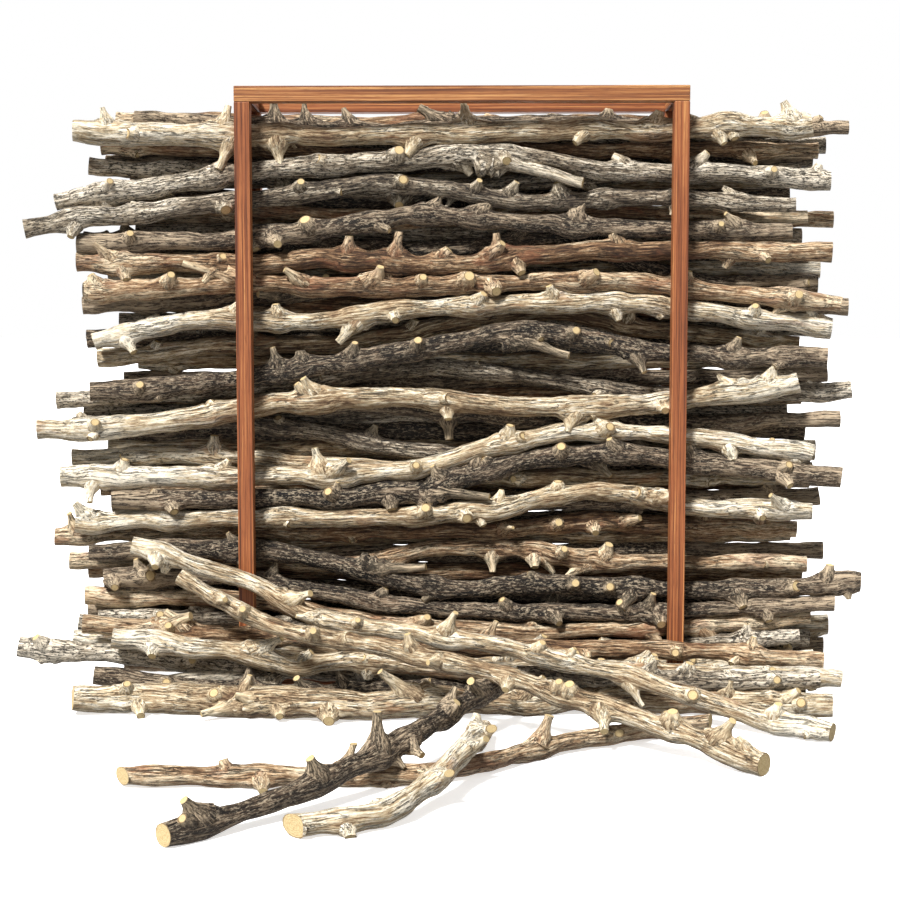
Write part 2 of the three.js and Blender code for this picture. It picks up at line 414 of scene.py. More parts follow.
# %% [markdown]
# ## Where each twig runs
# A packed twig is a bar of seven sides swept along a crooked line, so its corners lie in rings of
# seven, far apart. The middle of each ring is a point on the twig's line, and the distance to the
# corners is its radius there.

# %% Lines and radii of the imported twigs
RING_CORNERS = 7


def rings_of(node):
    """The twig's stations as (middle, radius), from its left end on."""
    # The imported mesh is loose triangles, so each corner is there several times.
    corners = {tuple(round(c, 5) for c in v.co) for v in frame["nodes"][node].data.vertices}
    left = [Vector(c) for c in corners]
    rings = []
    while left:
        seed = left[0]
        ring = sorted(left, key=lambda c: (c - seed).length)[:RING_CORNERS]
        left = [c for c in left if c not in ring]
        middle = sum(ring, Vector()) / len(ring)
        rings.append((middle, max((c - middle).length for c in ring)))
    ordered = [min(rings, key=lambda r: r[0].x)]
    rings.remove(ordered[0])
    while rings:
        nearest = min(rings, key=lambda r: (r[0] - ordered[-1][0]).length)
        ordered.append(nearest)
        rings.remove(nearest)
    return ordered


line_of = {node: rings_of(node) for node in twig_nodes}
print({node: len(line) for node, line in line_of.items()})

# %% [markdown]
# ## Stubs and knots
# Side shoots were cut off short. Each leaves a stub like a small antler: a wide root that flows into
# the twig, a bend, and a cut or broken tip. Around the root the twig itself is swollen. So a stub is
# a line of its own that starts inside the twig, and the twig's line gets thicker there. Three root
# points on the twig's skin, in a row along it, say where the skin is later drawn up into a mound.


# %% Lines with fine stations
UP = Vector((0, 0, 1))
FINE_STEPS = 4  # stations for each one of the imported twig


def smooth_line(line):
    """The same line through more stations, on a Catmull-Rom curve."""
    ahead = (2 * line[0][0] - line[1][0], line[0][1])
    behind = (2 * line[-1][0] - line[-2][0], line[-1][1])
    ends = [ahead, *line, behind]
    made = []
    for before, start, finish, after in zip(ends, ends[1:], ends[2:], ends[3:]):
        for k in range(FINE_STEPS):
            t = k / FINE_STEPS
            rise = (finish[0] - before[0]) * t
            bend = (2 * before[0] - 5 * start[0] + 4 * finish[0] - after[0]) * t ** 2
            turn = (3 * start[0] - before[0] - 3 * finish[0] + after[0]) * t ** 3
            radius = start[1] * (1 - t) + finish[1] * t
            made.append((start[0] + (rise + bend + turn) / 2, radius))
    return [*made, line[-1]]


sample_line = smooth_line(line_of["front_twig_01"])
print("the first twig has", len(sample_line), "stations")

# %% Knots
KINK = 3.0 * MM  # how far a twig bends away from a stub


def knotted(line, horns):
    """The line with more thickness at each stub, and a kink away from it."""
    made = []
    for point, radius in line:
        swell = 0.0
        kink = Vector()
        for horn in horns:
            near = math.exp(-((point - horn[0][0]).length / (1.8 * radius)) ** 2)
            away = (horn[0][0] - horn[1][0]).normalized()
            kink += Vector((0.0, 0.3 * away.y, away.z)) * near * KINK
            swell += near
        made.append((point + kink, radius * (0.95 + 0.14 * min(swell, 1.3))))
    return made


print("a twig bends", KINK / MM, "mm away from a stub")


# %% Places on a twig
def place_on(line, share):
    """Middle, direction and radius at a share of the twig's stations, from 0 to 1."""
    spot = share * (len(line) - 1)
    low = min(int(spot), len(line) - 2)
    part = spot - low
    middle = line[low][0].lerp(line[low + 1][0], part)
    radius = line[low][1] * (1 - part) + line[low + 1][1] * part
    return middle, (line[low + 1][0] - line[low][0]).normalized(), radius


def share_at(line, x):
    """The share of the twig's stations where it passes x, or close to an end if it never does."""
    for i, (a, b) in enumerate(zip(line, line[1:])):
        if a[0].x <= x <= b[0].x:
            return (i + (x - a[0].x) / (b[0].x - a[0].x)) / (len(line) - 1)
    return 0.03 if x < line[0][0].x else 0.97


print("the first twig passes the middle at", round(share_at(sample_line, 0.0), 2), "of its stations")


# %% A stub on a twig
def stub(line, share, turn, length, lean, tip, curl=0.0):
    """A stub as (point, radius) pairs, and its root points as (point, height) pairs. turn is the
    angle in degrees from straight up (0) towards the viewer (90) and down (180), lean is how far it
    leans along the twig, and tip is its end radius."""
    middle, along, radius = place_on(line, share)
    side = along.cross(UP).normalized()
    up = side.cross(along).normalized()
    angle = math.radians(turn)
    out = up * math.cos(angle) + side * math.sin(angle)
    way = (out + along * lean).normalized()
    root = middle - along * lean * radius * 0.5
    rise = radius * 1.15
    base = min(tip * 1.6 + length * 0.2, radius * 0.95)
    stages = [(0.2 * radius, 1.0), (0.8 * radius, 1.0), (rise, 0.72)]
    stages += [(rise + 0.3 * length, 0.36), (rise + 0.65 * length, 0.12), (rise + length, 0.0)]
    profile = [(far, tip + (base - tip) * flare) for far, flare in stages]
    bend = along * curl * length
    horn = []
    for far, thick in profile:
        horn.append((root + way * far + bend * (far / (rise + length)) ** 3, thick))
    skin = middle + out * radius * 0.9
    reach = radius * (0.55 + 0.02 * min(length / MM, 20))
    mound = [(skin + along * reach * step, tip * 0.9 + length * 0.2) for step in (-1, 0, 1)]
    return horn, mound


sample_horn, sample_mound = stub(sample_line, 0.5, 90, 20 * MM, 0.3, 4 * MM)
print("a stub has", len(sample_horn), "stations and", len(sample_mound), "root points")


# %% Small stubs at random
FRONT_TURNS = (0, 10, 25, 45, 80, 130, 160, 185, 300)
BACK_TURNS = (0, 25, 180, 215, 245, 270, 300, 330)
STUB_LENGTHS = (3, 6, 9, 13, 17, 24)
bar_boxes = [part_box(node) for node in bar_nodes]


def clear_of_bars(horn):
    """Whether the stub misses every batten. One that didn't would have been broken off."""
    return not any(
        all(low[i] - radius < point[i] < high[i] + radius for i in range(3))
        for point, radius in horn[2:]
        for low, high in bar_boxes
    )


def scattered_stubs(line, pick, spacing, turns=FRONT_TURNS):
    """Stubs at uneven spacings, each turned at random to one of the given sides."""
    length = sum((b[0] - a[0]).length for a, b in zip(line, line[1:]))
    count = int(length / spacing)
    made = []
    for i in range(count):
        share = (i + pick.uniform(0.1, 0.9)) / count
        turn = pick.choice(turns) + pick.uniform(-15, 15)
        long = pick.choice(STUB_LENGTHS) * MM
        lean = pick.choice((-1, 1)) * pick.uniform(0.2, 1.1)
        tip = pick.uniform(2.6, 5.0) * MM
        made.append(stub(line, share, turn, long, lean, tip, pick.uniform(-0.3, 0.3)))
    return [(horn, mound) for horn, mound in made if clear_of_bars(horn)]


print("small stubs are", STUB_LENGTHS[0], "to", STUB_LENGTHS[-1], "mm long")

# %% [markdown]
# ## The stubs that stand out
# Some stubs give the pile its face: tall horns, flared roots, round cut ends turned to the viewer.
# These are listed twig by twig. Each is its distance along the frame from its middle, its turn
# in degrees, its length, its lean and its tip radius. Lengths are in millimetres.

# %% Listed stubs
MARKED = {
    "front_twig_17": [
        (-455, 10, 18, -0.3, 3), (-300, 165, 34, -0.3, 5), (-240, 170, 26, 0.2, 4.5),
        (10, 0, 24, -0.2, 3.5), (250, 15, 9, 0.3, 4), (330, 160, 12, 0.5, 4),
        (425, 5, 22, -0.5, 4.5),
    ],
    "front_twig_16": [
        (-460, 60, 14, 0.6, 4), (-82, 64, 10, 0.2, 5.5), (56, 116, 9, 0.2, 5.5),
        (40, 150, 130, 3.6, 7), (300, 20, 18, 0.8, 4), (400, 76, 9, 0.1, 4),
    ],
    "front_twig_15": [
        (-500, 150, 12, -0.4, 4), (-308, 124, 7, 0.2, 6), (-208, 58, 9, 0.1, 5),
        (-81, 75, 6, 0.4, 5.5), (60, 15, 14, 0.5, 4), (130, 20, 12, -0.3, 5),
        (280, 170, 14, -0.4, 4),
    ],
    "front_twig_14": [
        (-430, 64, 11, 0.3, 4), (-245, 116, 17, 0.3, 5.5), (-197, 50, 9, -0.2, 6.5),
        (-110, 145, 14, 0.9, 3), (-40, 0, 16, 0.7, 3), (150, 5, 20, -0.4, 4), (330, 76, 11, 0.2, 4),
    ],
    "front_twig_13": [
        (-440, 150, 12, 0.3, 5), (-320, 160, 18, -0.6, 4), (-148, 10, 15, 0.1, 4.5),
        (-87, 0, 24, 0.1, 4.5), (-92, 175, 9, 0.0, 2.5), (49, 5, 18, 0.0, 4),
        (72, 150, 11, 0.3, 5.5), (205, 15, 12, -0.5, 4), (390, 124, 10, 0.4, 4),
    ],
    "front_twig_12": [
        (-290, 25, 80, -3.0, 4), (-470, 20, 10, -0.4, 4), (-380, 58, 11, 0.2, 5),
        (-52, 60, 7, 0.2, 4.5), (7, 64, 12, 0.2, 6), (39, 116, 11, 0.3, 6), (160, 60, 16, 0.8, 5.5),
        (290, 20, 9, 0.2, 4), (430, 76, 13, 0.2, 5),
    ],
    "front_twig_11": [
        (-440, 155, 15, 0.3, 4.5), (-295, 10, 16, 0.3, 4), (-90, 124, 8, 0.1, 4),
        (120, 30, 12, -0.4, 4), (200, 170, 11, 0.4, 4), (380, 45, 8, -0.2, 4),
    ],
    "front_twig_10": [
        (70, 160, 75, 2.2, 4.5), (-420, 70, 9, 0.2, 4.5), (-240, 10, 18, -0.1, 4),
        (-60, 58, 11, 0.3, 5), (145, 70, 9, 0.2, 5), (228, 150, 22, 0.6, 4), (350, 10, 12, 0.4, 4),
    ],
    "front_twig_09": [
        (-480, 64, 10, 0.3, 5), (-193, 25, 20, -0.5, 4.5), (-20, 150, 10, 0.3, 4),
        (150, 160, 20, -0.4, 5), (262, 116, 9, 0.1, 4.5), (400, 15, 16, 0.5, 4),
    ],
    "front_twig_08": [
        (-450, 15, 9, 0.4, 4), (-182, 5, 26, -0.3, 4), (-60, 76, 8, 0.1, 4.5), (60, 20, 12, 0.5, 4),
        (190, 70, 9, 0.3, 5), (350, 150, 12, 0.4, 4),
    ],
    "front_twig_07": [
        (-40, 155, 80, 2.8, 4.5), (-380, 124, 11, 0.3, 4.5), (-170, 60, 10, -0.3, 5),
        (-95, 150, 9, 0.2, 5), (20, 10, 14, 0.5, 4), (130, 58, 9, 0.1, 5), (300, 15, 10, -0.4, 4),
        (420, 60, 8, 0.3, 4),
    ],
    "front_twig_06": [
        (-490, 20, 20, -0.8, 4), (-51, 64, 10, 0.2, 5.5), (5, 110, 6, 0.2, 5.5),
        (23, 160, 8, 0.3, 3.5), (127, 15, 5, 0.2, 4.5), (258, 55, 20, 0.9, 4.5),
        (390, 116, 8, 0.2, 4),
    ],
    "front_twig_05": [
        (-120, 20, 75, 2.6, 4.5), (-390, 120, 18, 0.3, 5.5), (-290, 150, 10, 0.3, 4),
        (144, 76, 11, 0.2, 5), (192, 75, 7, 0.2, 5), (362, 140, 14, 0.3, 5.5), (430, 75, 8, 0.8, 6),
        (480, 10, 14, 0.3, 5),
    ],
    "front_twig_04": [
        (-458, 110, 12, 0.2, 4.5), (-421, 75, 12, 0.9, 6.5), (60, 30, 10, -0.4, 4),
        (217, 45, 14, -0.5, 4.5), (258, 124, 12, 0.2, 5.5), (400, 150, 9, 0.2, 4),
    ],
    "front_twig_03": [
        (-433, 0, 8, 0.2, 4), (-330, 58, 9, 0.2, 4), (382, 0, 18, -0.4, 4.5), (404, 10, 6, 0.3, 4),
    ],
    "front_twig_02": [(-400, 64, 10, 0.2, 4.5), (103, 30, 12, 0.5, 4.5), (375, 10, 12, 0.2, 4)],
    "front_twig_01": [(65, 10, 9, 0.0, 3), (160, 116, 10, 0.2, 4), (300, 60, 9, 0.4, 4)],
    "inner_twig_17": [
        (-245, 0, 20, -0.1, 5), (-146, 0, 16, -0.5, 3.5), (-25, 15, 34, -1.4, 5.5),
        (190, 10, 9, 0.2, 4),
    ],
    "inner_twig_15": [(-82, 130, 12, 0.0, 5.5), (120, 76, 9, 0.2, 4)],
    "inner_twig_13": [(172, 0, 24, 0.1, 5), (-168, 124, 11, 0.1, 4.5)],
    "inner_twig_12": [(-178, 58, 11, 0.1, 4.5), (-224, 64, 10, 0.1, 4.5)],
    "inner_twig_09": [(215, 150, 40, 1.1, 4.5), (60, 64, 10, 0.2, 4.5), (-20, 170, 24, 0.2, 5)],
    "inner_twig_05": [(124, 76, 11, 0.2, 4.5), (175, 124, 10, 0.1, 4.5), (395, 5, 16, 0.2, 4)],
    "inner_twig_04": [
        (41, 160, 18, 0.1, 4), (98, 145, 10, 0.2, 5), (132, 58, 11, 0.2, 4.5),
        (187, 25, 14, 0.3, 5.5),
    ],
    "heap_high_twig": [
        (-385, 30, 40, 1.7, 4.5), (-378, 64, 8, 0.1, 4), (160, 116, 9, 0.2, 4),
        (375, 5, 12, 0.1, 4),
    ],
    "heap_low_twig": [
        (-540, 40, 12, -0.6, 5), (-255, 150, 170, -5.5, 8), (-350, 76, 10, 0.3, 4),
        (-60, 20, 12, 0.3, 4), (320, 60, 8, 0.2, 4),
    ],
    "heap_dark_twig": [
        (-375, 70, 5, 0.1, 4.5), (-275, 0, 30, 0.1, 2.8), (-150, 5, 16, -0.2, 3),
        (210, 60, 7, 0.2, 4),
    ],
    "heap_front_twig": [
        (250, 140, 85, 2.8, 4.5), (-391, 124, 10, 0.1, 5), (-262, 15, 32, 0.9, 4.5),
        (-120, 170, 8, 0.1, 4), (140, 20, 12, 0.4, 4), (240, 15, 10, 0.2, 4), (390, 60, 9, 0.2, 4),
    ],
    "heap_thick_twig": [
        (-418, 40, 6, 0.1, 4.5), (-402, 115, 18, 0.2, 4.5), (-303, 58, 5, 0.0, 4.5),
        (-275, 105, 44, -1.1, 4), (-272, 0, 14, 0.3, 3.5), (-246, 64, 29, -1.3, 3),
        (-222, 110, 12, 0.4, 4.5), (-163, 112, 13, 0.1, 6.5), (-60, 15, 52, -1.2, 5),
        (90, 20, 12, 0.4, 4), (210, 116, 11, 0.2, 5), (330, 15, 16, 0.3, 4.5), (420, 70, 6, 0.1, 5),
    ],
    "heap_right_twig": [(175, 5, 10, 0.1, 4.5), (283, 10, 9, 0.2, 5.5), (390, 76, 8, 0.1, 4)],
    "short_leaning_twig": [
        (-390, 124, 13, 0.2, 5), (-222, 20, 32, 0.9, 4.5), (-130, 58, 9, 0.2, 4),
        (-20, 10, 10, 0.4, 4.5), (95, 30, 9, 0.3, 4), (283, 70, 4, 0.1, 5.5),
        (373, 10, 10, 0.2, 4.5),
    ],
    "long_leaning_twig": [
        (-270, 60, 10, 0.1, 4.5), (-180, 64, 17, 0.3, 4), (-60, 15, 14, -0.3, 4.5),
        (60, 116, 9, 0.2, 4.5), (128, 30, 8, 0.0, 5.5), (165, 120, 26, 0.6, 4.5),
        (238, 15, 9, 0.0, 6.5), (285, 10, 26, 0.5, 4.5),
    ],
    "loose_brown_twig": [
        (-209, 108, 16, 0.2, 4.5), (-120, 5, 24, 0.3, 3), (-40, 76, 10, 0.2, 4),
        (88, 5, 28, 0.5, 4.5), (170, 70, 8, 0.4, 4), (240, 15, 9, 0.2, 4),
    ],
    "loose_dark_twig": [
        (-245, 10, 24, -0.8, 4.5), (-142, 10, 20, -0.4, 4.5), (-85, 0, 32, 0.1, 5),
        (-62, 110, 18, -0.3, 4), (-20, 45, 10, 0.2, 5.5), (20, 20, 40, -1.5, 5),
    ],
    "loose_pale_twig": [
        (-110, 124, 8, 0.1, 4), (-25, 58, 15, -0.4, 4), (2, 64, 17, 0.3, 4), (16, 60, 12, -0.5, 5),
    ],
}


def marked_stubs(node, line):
    """The listed stubs on one twig."""
    return [
        stub(line, share_at(line, x * MM), turn, length * MM, lean, tip * MM)
        for x, turn, length, lean, tip in MARKED.get(node, [])
    ]


print(sum(len(rows) for rows in MARKED.values()), "stubs set by hand")

# %% [markdown]
# ## Growing the twigs
# A twig follows a path, which is what Geometry Nodes do best. The tree takes bare edges with a
# thickness, makes them smooth curves, shakes them a little, sweeps a circle along them, pushes the
# surface out and in to make ridges and lumps, draws it up into a mound round every root point, and
# closes the ends with a slanting cut face. It leaves the attributes that the bark and the cut wood
# read.
# In the frame a twig has little room from front to back, so it is shaken less that way.


# %% Attributes in the tree
def named(tree, name, kind="FLOAT"):
    """An attribute that travels with the geometry."""
    return tree.add("GeometryNodeInputNamedAttribute", {"data_type": kind}, {"Name": name})


def stored(tree, geometry, name, value, kind="FLOAT"):
    """The geometry with a value kept on each point."""
    settings = {"data_type": kind, "domain": "POINT"}
    values = {"Geometry": geometry, "Name": name, "Value": value}
    return tree.add("GeometryNodeStoreNamedAttribute", settings, values)


def own_place(tree, given, scale):
    """Coordinates for noise, which change scale times in a metre and differ from twig to twig."""
    place = tree.add("GeometryNodeInputPosition")
    drift = tree.add("ShaderNodeCombineXYZ", {}, {"X": given["Seed"], "Y": given["Seed"] * 0.37})
    return place * scale + drift


print("attributes can be kept and read")

# %% From the wire to shaken curves
ROOM = (2.0, 0.6, 2.0)  # how far a twig is shaken along the frame, in depth and in height
SLANT_SHARE = 0.012  # the share of a twig's length over which its cut slants


def shaken_curves(tree, given):
    """The wire as smooth curves, and its root points, all shaken alike."""
    values = {"Geometry": given["Geometry"], "Selection": named(tree, "mound").more_than(0.0)}
    roots = tree.add("GeometryNodeSeparateGeometry", {}, values)
    curve = tree.add("GeometryNodeMeshToCurve", {}, {"Mesh": roots.other("Inverted")})
    settings = {"spline_type": "CATMULL_ROM"}
    curve = tree.add("GeometryNodeCurveSplineType", settings, {"Curve": curve})
    values = {"Curve": curve, "Length": given["Step"]}
    curve = tree.add("GeometryNodeResampleCurve", {"mode": "LENGTH"}, values)
    noise = tree.noise(own_place(tree, given, 13.0), 2.5, 0.5)
    offset = tree.scaled((noise.other("Color") - 0.5) * ROOM, given["Shake"])
    curve = tree.add("GeometryNodeSetPosition", {}, {"Geometry": curve, "Offset": offset})
    roots = tree.add("GeometryNodeSetPosition", {}, {"Geometry": roots, "Offset": offset})
    return curve, roots


def measured(tree, given, curve):
    """The curves with what the skin reads later: the length so far, the slant of the cut ends, the
    middle of the twig, and a thickness that swells and shrinks."""
    length = tree.add("GeometryNodeSplineParameter", {}, {}, "Length")
    curve = stored(tree, curve, "along", length)
    share = tree.add("GeometryNodeSplineParameter")
    slant = share.ramp(1.0 - SLANT_SHARE, 1.0) + share.ramp(0.0, SLANT_SHARE) - 1.0
    curve = stored(tree, curve, "slant", slant * given["Slant"])
    middle = tree.add("GeometryNodeInputPosition")
    curve = stored(tree, curve, "middle", middle, "FLOAT_VECTOR")
    swell = tree.noise(own_place(tree, given, 21.0), 2.0)
    radius = named(tree, "thickness") * (0.7 + swell * 0.6)
    return stored(tree, curve, "thickness", radius)


print("cuts slant over", SLANT_SHARE, "of a twig's length")


# %% From curves to a tube with grain
def swept(tree, given, curve):
    """A circle swept along the curves. Each point of it knows how far round it is."""
    values = {"Resolution": given["Sides"], "Radius": 1.0}
    circle = tree.add("GeometryNodeCurvePrimitiveCircle", {}, values)
    circle = stored(tree, circle, "round", tree.add("GeometryNodeSplineParameter"))
    values = {"Curve": curve, "Profile Curve": circle, "Fill Caps": True}
    values["Scale"] = named(tree, "thickness")
    return tree.add("GeometryNodeCurveToMesh", {}, values)


def with_grain(tree, given, mesh):
    """The tube with its grain: two numbers that go round it, and the length along it."""
    angle = named(tree, "round") * (2 * math.pi)
    thick = named(tree, "thickness")
    cosine = tree.add("ShaderNodeMath", {"operation": "COSINE"}, {0: angle})
    sine = tree.add("ShaderNodeMath", {"operation": "SINE"}, {0: angle})
    values = {"X": cosine * thick, "Y": sine * thick + given["Seed"]}
    values["Z"] = named(tree, "along") + given["Seed"]
    grain = tree.add("ShaderNodeCombineXYZ", {}, values)
    return stored(tree, mesh, "grain", grain, "FLOAT_VECTOR")


print("tubes have grain")

# %% Ridges, lumps and mounds
# As in the bark, these say how often each pattern changes in a metre.
RIDGE_PATTERN = (130.0, 130.0, 11.0)
LUMP_PATTERN = (52.0, 52.0, 17.0)


def skin_push(tree, given, roots):
    """How far the skin goes out or in at each point."""
    grain = named(tree, "grain", "FLOAT_VECTOR")
    ridge = tree.noise(grain * RIDGE_PATTERN, 3.0, 0.6, 0.4) - 0.5
    lump = tree.noise(grain * LUMP_PATTERN, 2.0) - 0.5
    push = ridge * given["Ridges"] * 2.0 + lump * given["Lumps"] * 2.0
    settings = {"target_element": "POINTS"}
    gap = tree.add("GeometryNodeProximity", settings, {0: roots}, "Distance")
    nearest = tree.add("GeometryNodeSampleNearest", {"domain": "POINT"}, {"Geometry": roots})
    values = {"Geometry": roots, "Value": named(tree, "mound"), "Index": nearest}
    settings = {"data_type": "FLOAT", "domain": "POINT"}
    height = tree.add("GeometryNodeSampleIndex", settings, values)
    near = (1.0 - gap / given["Mound reach"]).clamped()
    return push + near * near * height


def shaped(tree, given, mesh, roots):
    """The tube with its skin pushed out and in, its ends slanted to show their faces to the front,
    and nothing below the floor."""
    place = tree.add("GeometryNodeInputPosition")
    middle = named(tree, "middle", "FLOAT_VECTOR")
    thick = named(tree, "thickness")
    out = tree.vector_math("NORMALIZE", place - middle)
    moved = place + tree.scaled(out, skin_push(tree, given, roots))
    across = tree.scaled(moved - middle, 1.0 / thick)
    mesh = stored(tree, mesh, "across", across, "FLOAT_VECTOR")
    back = tree.add("ShaderNodeSeparateXYZ", {}, {"Vector": out}, "Y")
    slide = back * thick * named(tree, "slant")
    moved = moved + tree.add("ShaderNodeCombineXYZ", {}, {"X": slide})
    parts = tree.add("ShaderNodeSeparateXYZ", {}, {"Vector": moved})
    settings = {"operation": "MAXIMUM"}
    above = tree.add("ShaderNodeMath", settings, {0: parts.other("Z"), 1: 0.0})
    values = {"X": parts, "Y": parts.other("Y"), "Z": above}
    moved = tree.add("ShaderNodeCombineXYZ", {}, values)
    return tree.add("GeometryNodeSetPosition", {}, {"Geometry": mesh, "Position": moved})


print("ridges are", round(RIDGE_PATTERN[0] / RIDGE_PATTERN[2]), "times as long as they are wide")


# %% Cut faces and materials
def faced(tree, given, mesh):
    """The sides smooth and in bark, and the ends flat and in cut wood. An end is the only face with
    more than four corners."""
    corners = tree.add("GeometryNodeInputMeshFaceNeighbors", {}, {}, "Vertex Count")
    settings = {"data_type": "INT", "operation": "GREATER_THAN"}
    is_end = tree.add("FunctionNodeCompare", settings, {2: corners, 3: 4})
    is_side = tree.add("FunctionNodeBooleanMath", {"operation": "NOT"}, {0: is_end})
    values = {"Geometry": mesh, "Shade Smooth": is_side}
    mesh = tree.add("GeometryNodeSetShadeSmooth", {}, values)
    mesh = tree.add("GeometryNodeRealizeInstances", {}, {"Geometry": mesh})
    values = {"Geometry": mesh, "Material": given["Bark"]}
    mesh = tree.add("GeometryNodeSetMaterial", {}, values)
    values = {"Geometry": mesh, "Selection": is_end, "Material": given["Cut wood"]}
    return tree.add("GeometryNodeSetMaterial", {}, values)


print("ends are in", cut_face.name)

# %% The tree that grows a twig
TWIG_INPUTS = [
    ("Sides", "Int", 18),
    ("Step", "Float", 4 * MM),  # between the rings of the mesh
    ("Shake", "Float", 5.5 * MM),  # how far the twig wanders
    ("Ridges", "Float", 1.2 * MM),
    ("Lumps", "Float", 2.6 * MM),
    ("Seed", "Float", 0.0),
    ("Mound reach", "Float", 17 * MM),  # how far from a root point its mound begins
    ("Slant", "Float", 0.12),  # how far a cut leans, in twig radii
    ("Tone", "Float", 0.5),
    ("Bark", "Material", None),
    ("Cut wood", "Material", None),
]


def twig_tree():
    """The node tree, and the identifier of each of its named inputs."""
    group = bpy.data.node_groups.new("grow_twig", "GeometryNodeTree")
    group.interface.new_socket("Geometry", in_out="INPUT", socket_type="NodeSocketGeometry")
    identifiers = {}
    for name, kind, value in TWIG_INPUTS:
        kind = "NodeSocket" + kind
        socket = group.interface.new_socket(name, in_out="INPUT", socket_type=kind)
        if value is not None:
            socket.default_value = value
        identifiers[name] = socket.identifier
    group.interface.new_socket("Geometry", in_out="OUTPUT", socket_type="NodeSocketGeometry")
    tree = Tree(group)
    entry = group.nodes.new("NodeGroupInput")
    given = {socket.name: Wire(tree, socket) for socket in entry.outputs if socket.name}
    curve, roots = shaken_curves(tree, given)
    curve = measured(tree, given, curve)
    mesh = with_grain(tree, given, swept(tree, given, curve))
    mesh = shaped(tree, given, mesh, roots)
    mesh = stored(tree, mesh, "tone", given["Tone"])
    mesh = faced(tree, given, mesh)
    leave = group.nodes.new("NodeGroupOutput")
    group.links.new(mesh.socket, leave.inputs[0])
    return group, identifiers


grow_twig, twig_inputs = twig_tree()
print("grow_twig:", len(grow_twig.nodes), "nodes")

# %% [markdown]
# ## One tree, many twigs
# Each wire gets a modifier with the tree. The inputs are set by their identifiers before the wire is
# first evaluated, and the result is kept as a plain mesh, which is what can be handed over. Twigs of
# one kind differ in the seed of their noise, in their tone and in where their small stubs are.


# %% Growing one piece
PEEL = 0.9  # how bare a stub's tip is


def grown(name, lines, roots, **sizes):
    """A mesh grown along the lines, each a list of (point, radius), the first being the twig's own.
    The root points are in the same wire, joined to nothing."""
    points = []
    edges = []
    radii = []
    peeled = []
    for line in lines:
        start = len(points)
        bare = 0.0 if line is lines[0] else PEEL
        edges += [(start + i, start + i + 1) for i in range(len(line) - 1)]
        for i, (point, radius) in enumerate(line):
            points.append(point)
            radii.append(radius)
            peeled.append(bare * (i / (len(line) - 1)) ** 2)
    mounds = [0.0] * len(points) + [height for point, height in roots]
    points += [point for point, height in roots]
    radii += [0.0] * len(roots)
    peeled += [0.0] * len(roots)
    wire = bpy.data.meshes.new(name)
    wire.from_pydata(points, edges, [])
    for key, values in (("thickness", radii), ("peel", peeled), ("mound", mounds)):
        wire.attributes.new(key, "FLOAT", "POINT").data.foreach_set("value", values)
    piece = bpy.data.objects.new(name, wire)
    bpy.context.scene.collection.objects.link(piece)
    growing = piece.modifiers.new("grow", "NODES")
    growing.node_group = grow_twig
    for key, value in sizes.items():
        growing[twig_inputs[key]] = value
    graph = bpy.context.evaluated_depsgraph_get()
    mesh = bpy.data.meshes.new_from_object(piece.evaluated_get(graph))
    piece.modifiers.clear()
    piece.data = mesh
    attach(piece, "root")
    return piece


print("a stub's tip is", PEEL, "bare")

# %% Looks of each twig
STUB_SPACING = 150 * MM
SEED_STEP = 1.7  # from twig to twig, in the seed of its noise
TONE_STEP = 0.618  # from twig to twig, which spreads the tones evenly
RIDGES = {"pale_twig": 1.1 * MM, "grey_twig": 1.1 * MM, "dark_twig": 1.5 * MM, "brown_twig": 1.3 * MM}
slot_of = {part["node"]: part["material_slot"] for part in frame["record"]["subparts"]}

# The twigs that lie in front of the rest are straighter and smoother, and some show a cut end.
CALMER = {
    "loose_brown_twig": {"Slant": 0.9, "Shake": 2.5 * MM, "Lumps": 1.4 * MM},
    "loose_dark_twig": {"Slant": 0.15, "Shake": 2.5 * MM, "Lumps": 1.4 * MM},
    "loose_pale_twig": {"Slant": 0.8, "Shake": 2.5 * MM, "Lumps": 1.4 * MM, "Tone": 1.25},
    "long_leaning_twig": {"Shake": 3 * MM, "Lumps": 2 * MM},
    "short_leaning_twig": {"Shake": 3 * MM, "Lumps": 2 * MM},
}


def looks_of(slot, number):
    """The inputs that follow from a twig's kind of bark and its number."""
    looks = {"Bark": bark_of[slot], "Cut wood": cut_face, "Ridges": RIDGES[slot]}
    return looks | {"Tone": (number * TONE_STEP) % 1.0}


print(len(CALMER), "twigs are calmer than the rest")


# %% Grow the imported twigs
def with_stubs(line, stubs):
    """The twig's line, knotted at its stubs, then the stubs' lines. And all root points."""
    horns = [horn for horn, mound in stubs]
    roots = [spot for horn, mound in stubs for spot in mound]
    return [knotted(line, horns), *horns], roots


def twig_piece(node, seed):
    """One twig with its stubs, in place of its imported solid."""
    line = smooth_line(line_of[node])
    slot = slot_of[node]
    small = scattered_stubs(line, random.Random(seed), STUB_SPACING)
    lines, roots = with_stubs(line, [*marked_stubs(node, line), *small])
    looks = looks_of(slot, seed) | CALMER.get(node, {})
    piece = grown(node + "_grown", lines, roots, Seed=seed * SEED_STEP, **looks)
    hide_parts(node)
    return piece


def triangles_of(pieces):
    return sum(len(face.vertices) - 2 for piece in pieces for face in piece.data.polygons)


twigs = [twig_piece(node, seed) for seed, node in enumerate(twig_nodes, start=1)]
print(len(twigs), "twigs,", triangles_of(twigs), "triangles")

# %% [markdown]
# ## The rear layer
# The last layer is nearly hidden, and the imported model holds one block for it. Its twigs are laid in
# that block from bottom to top, nearly as long as the block is wide, and joined as one piece.

# %% Lines of the rear twigs
REAR_TWIGS = 31
REAR_STATIONS = 9
REAR_SEED = 5


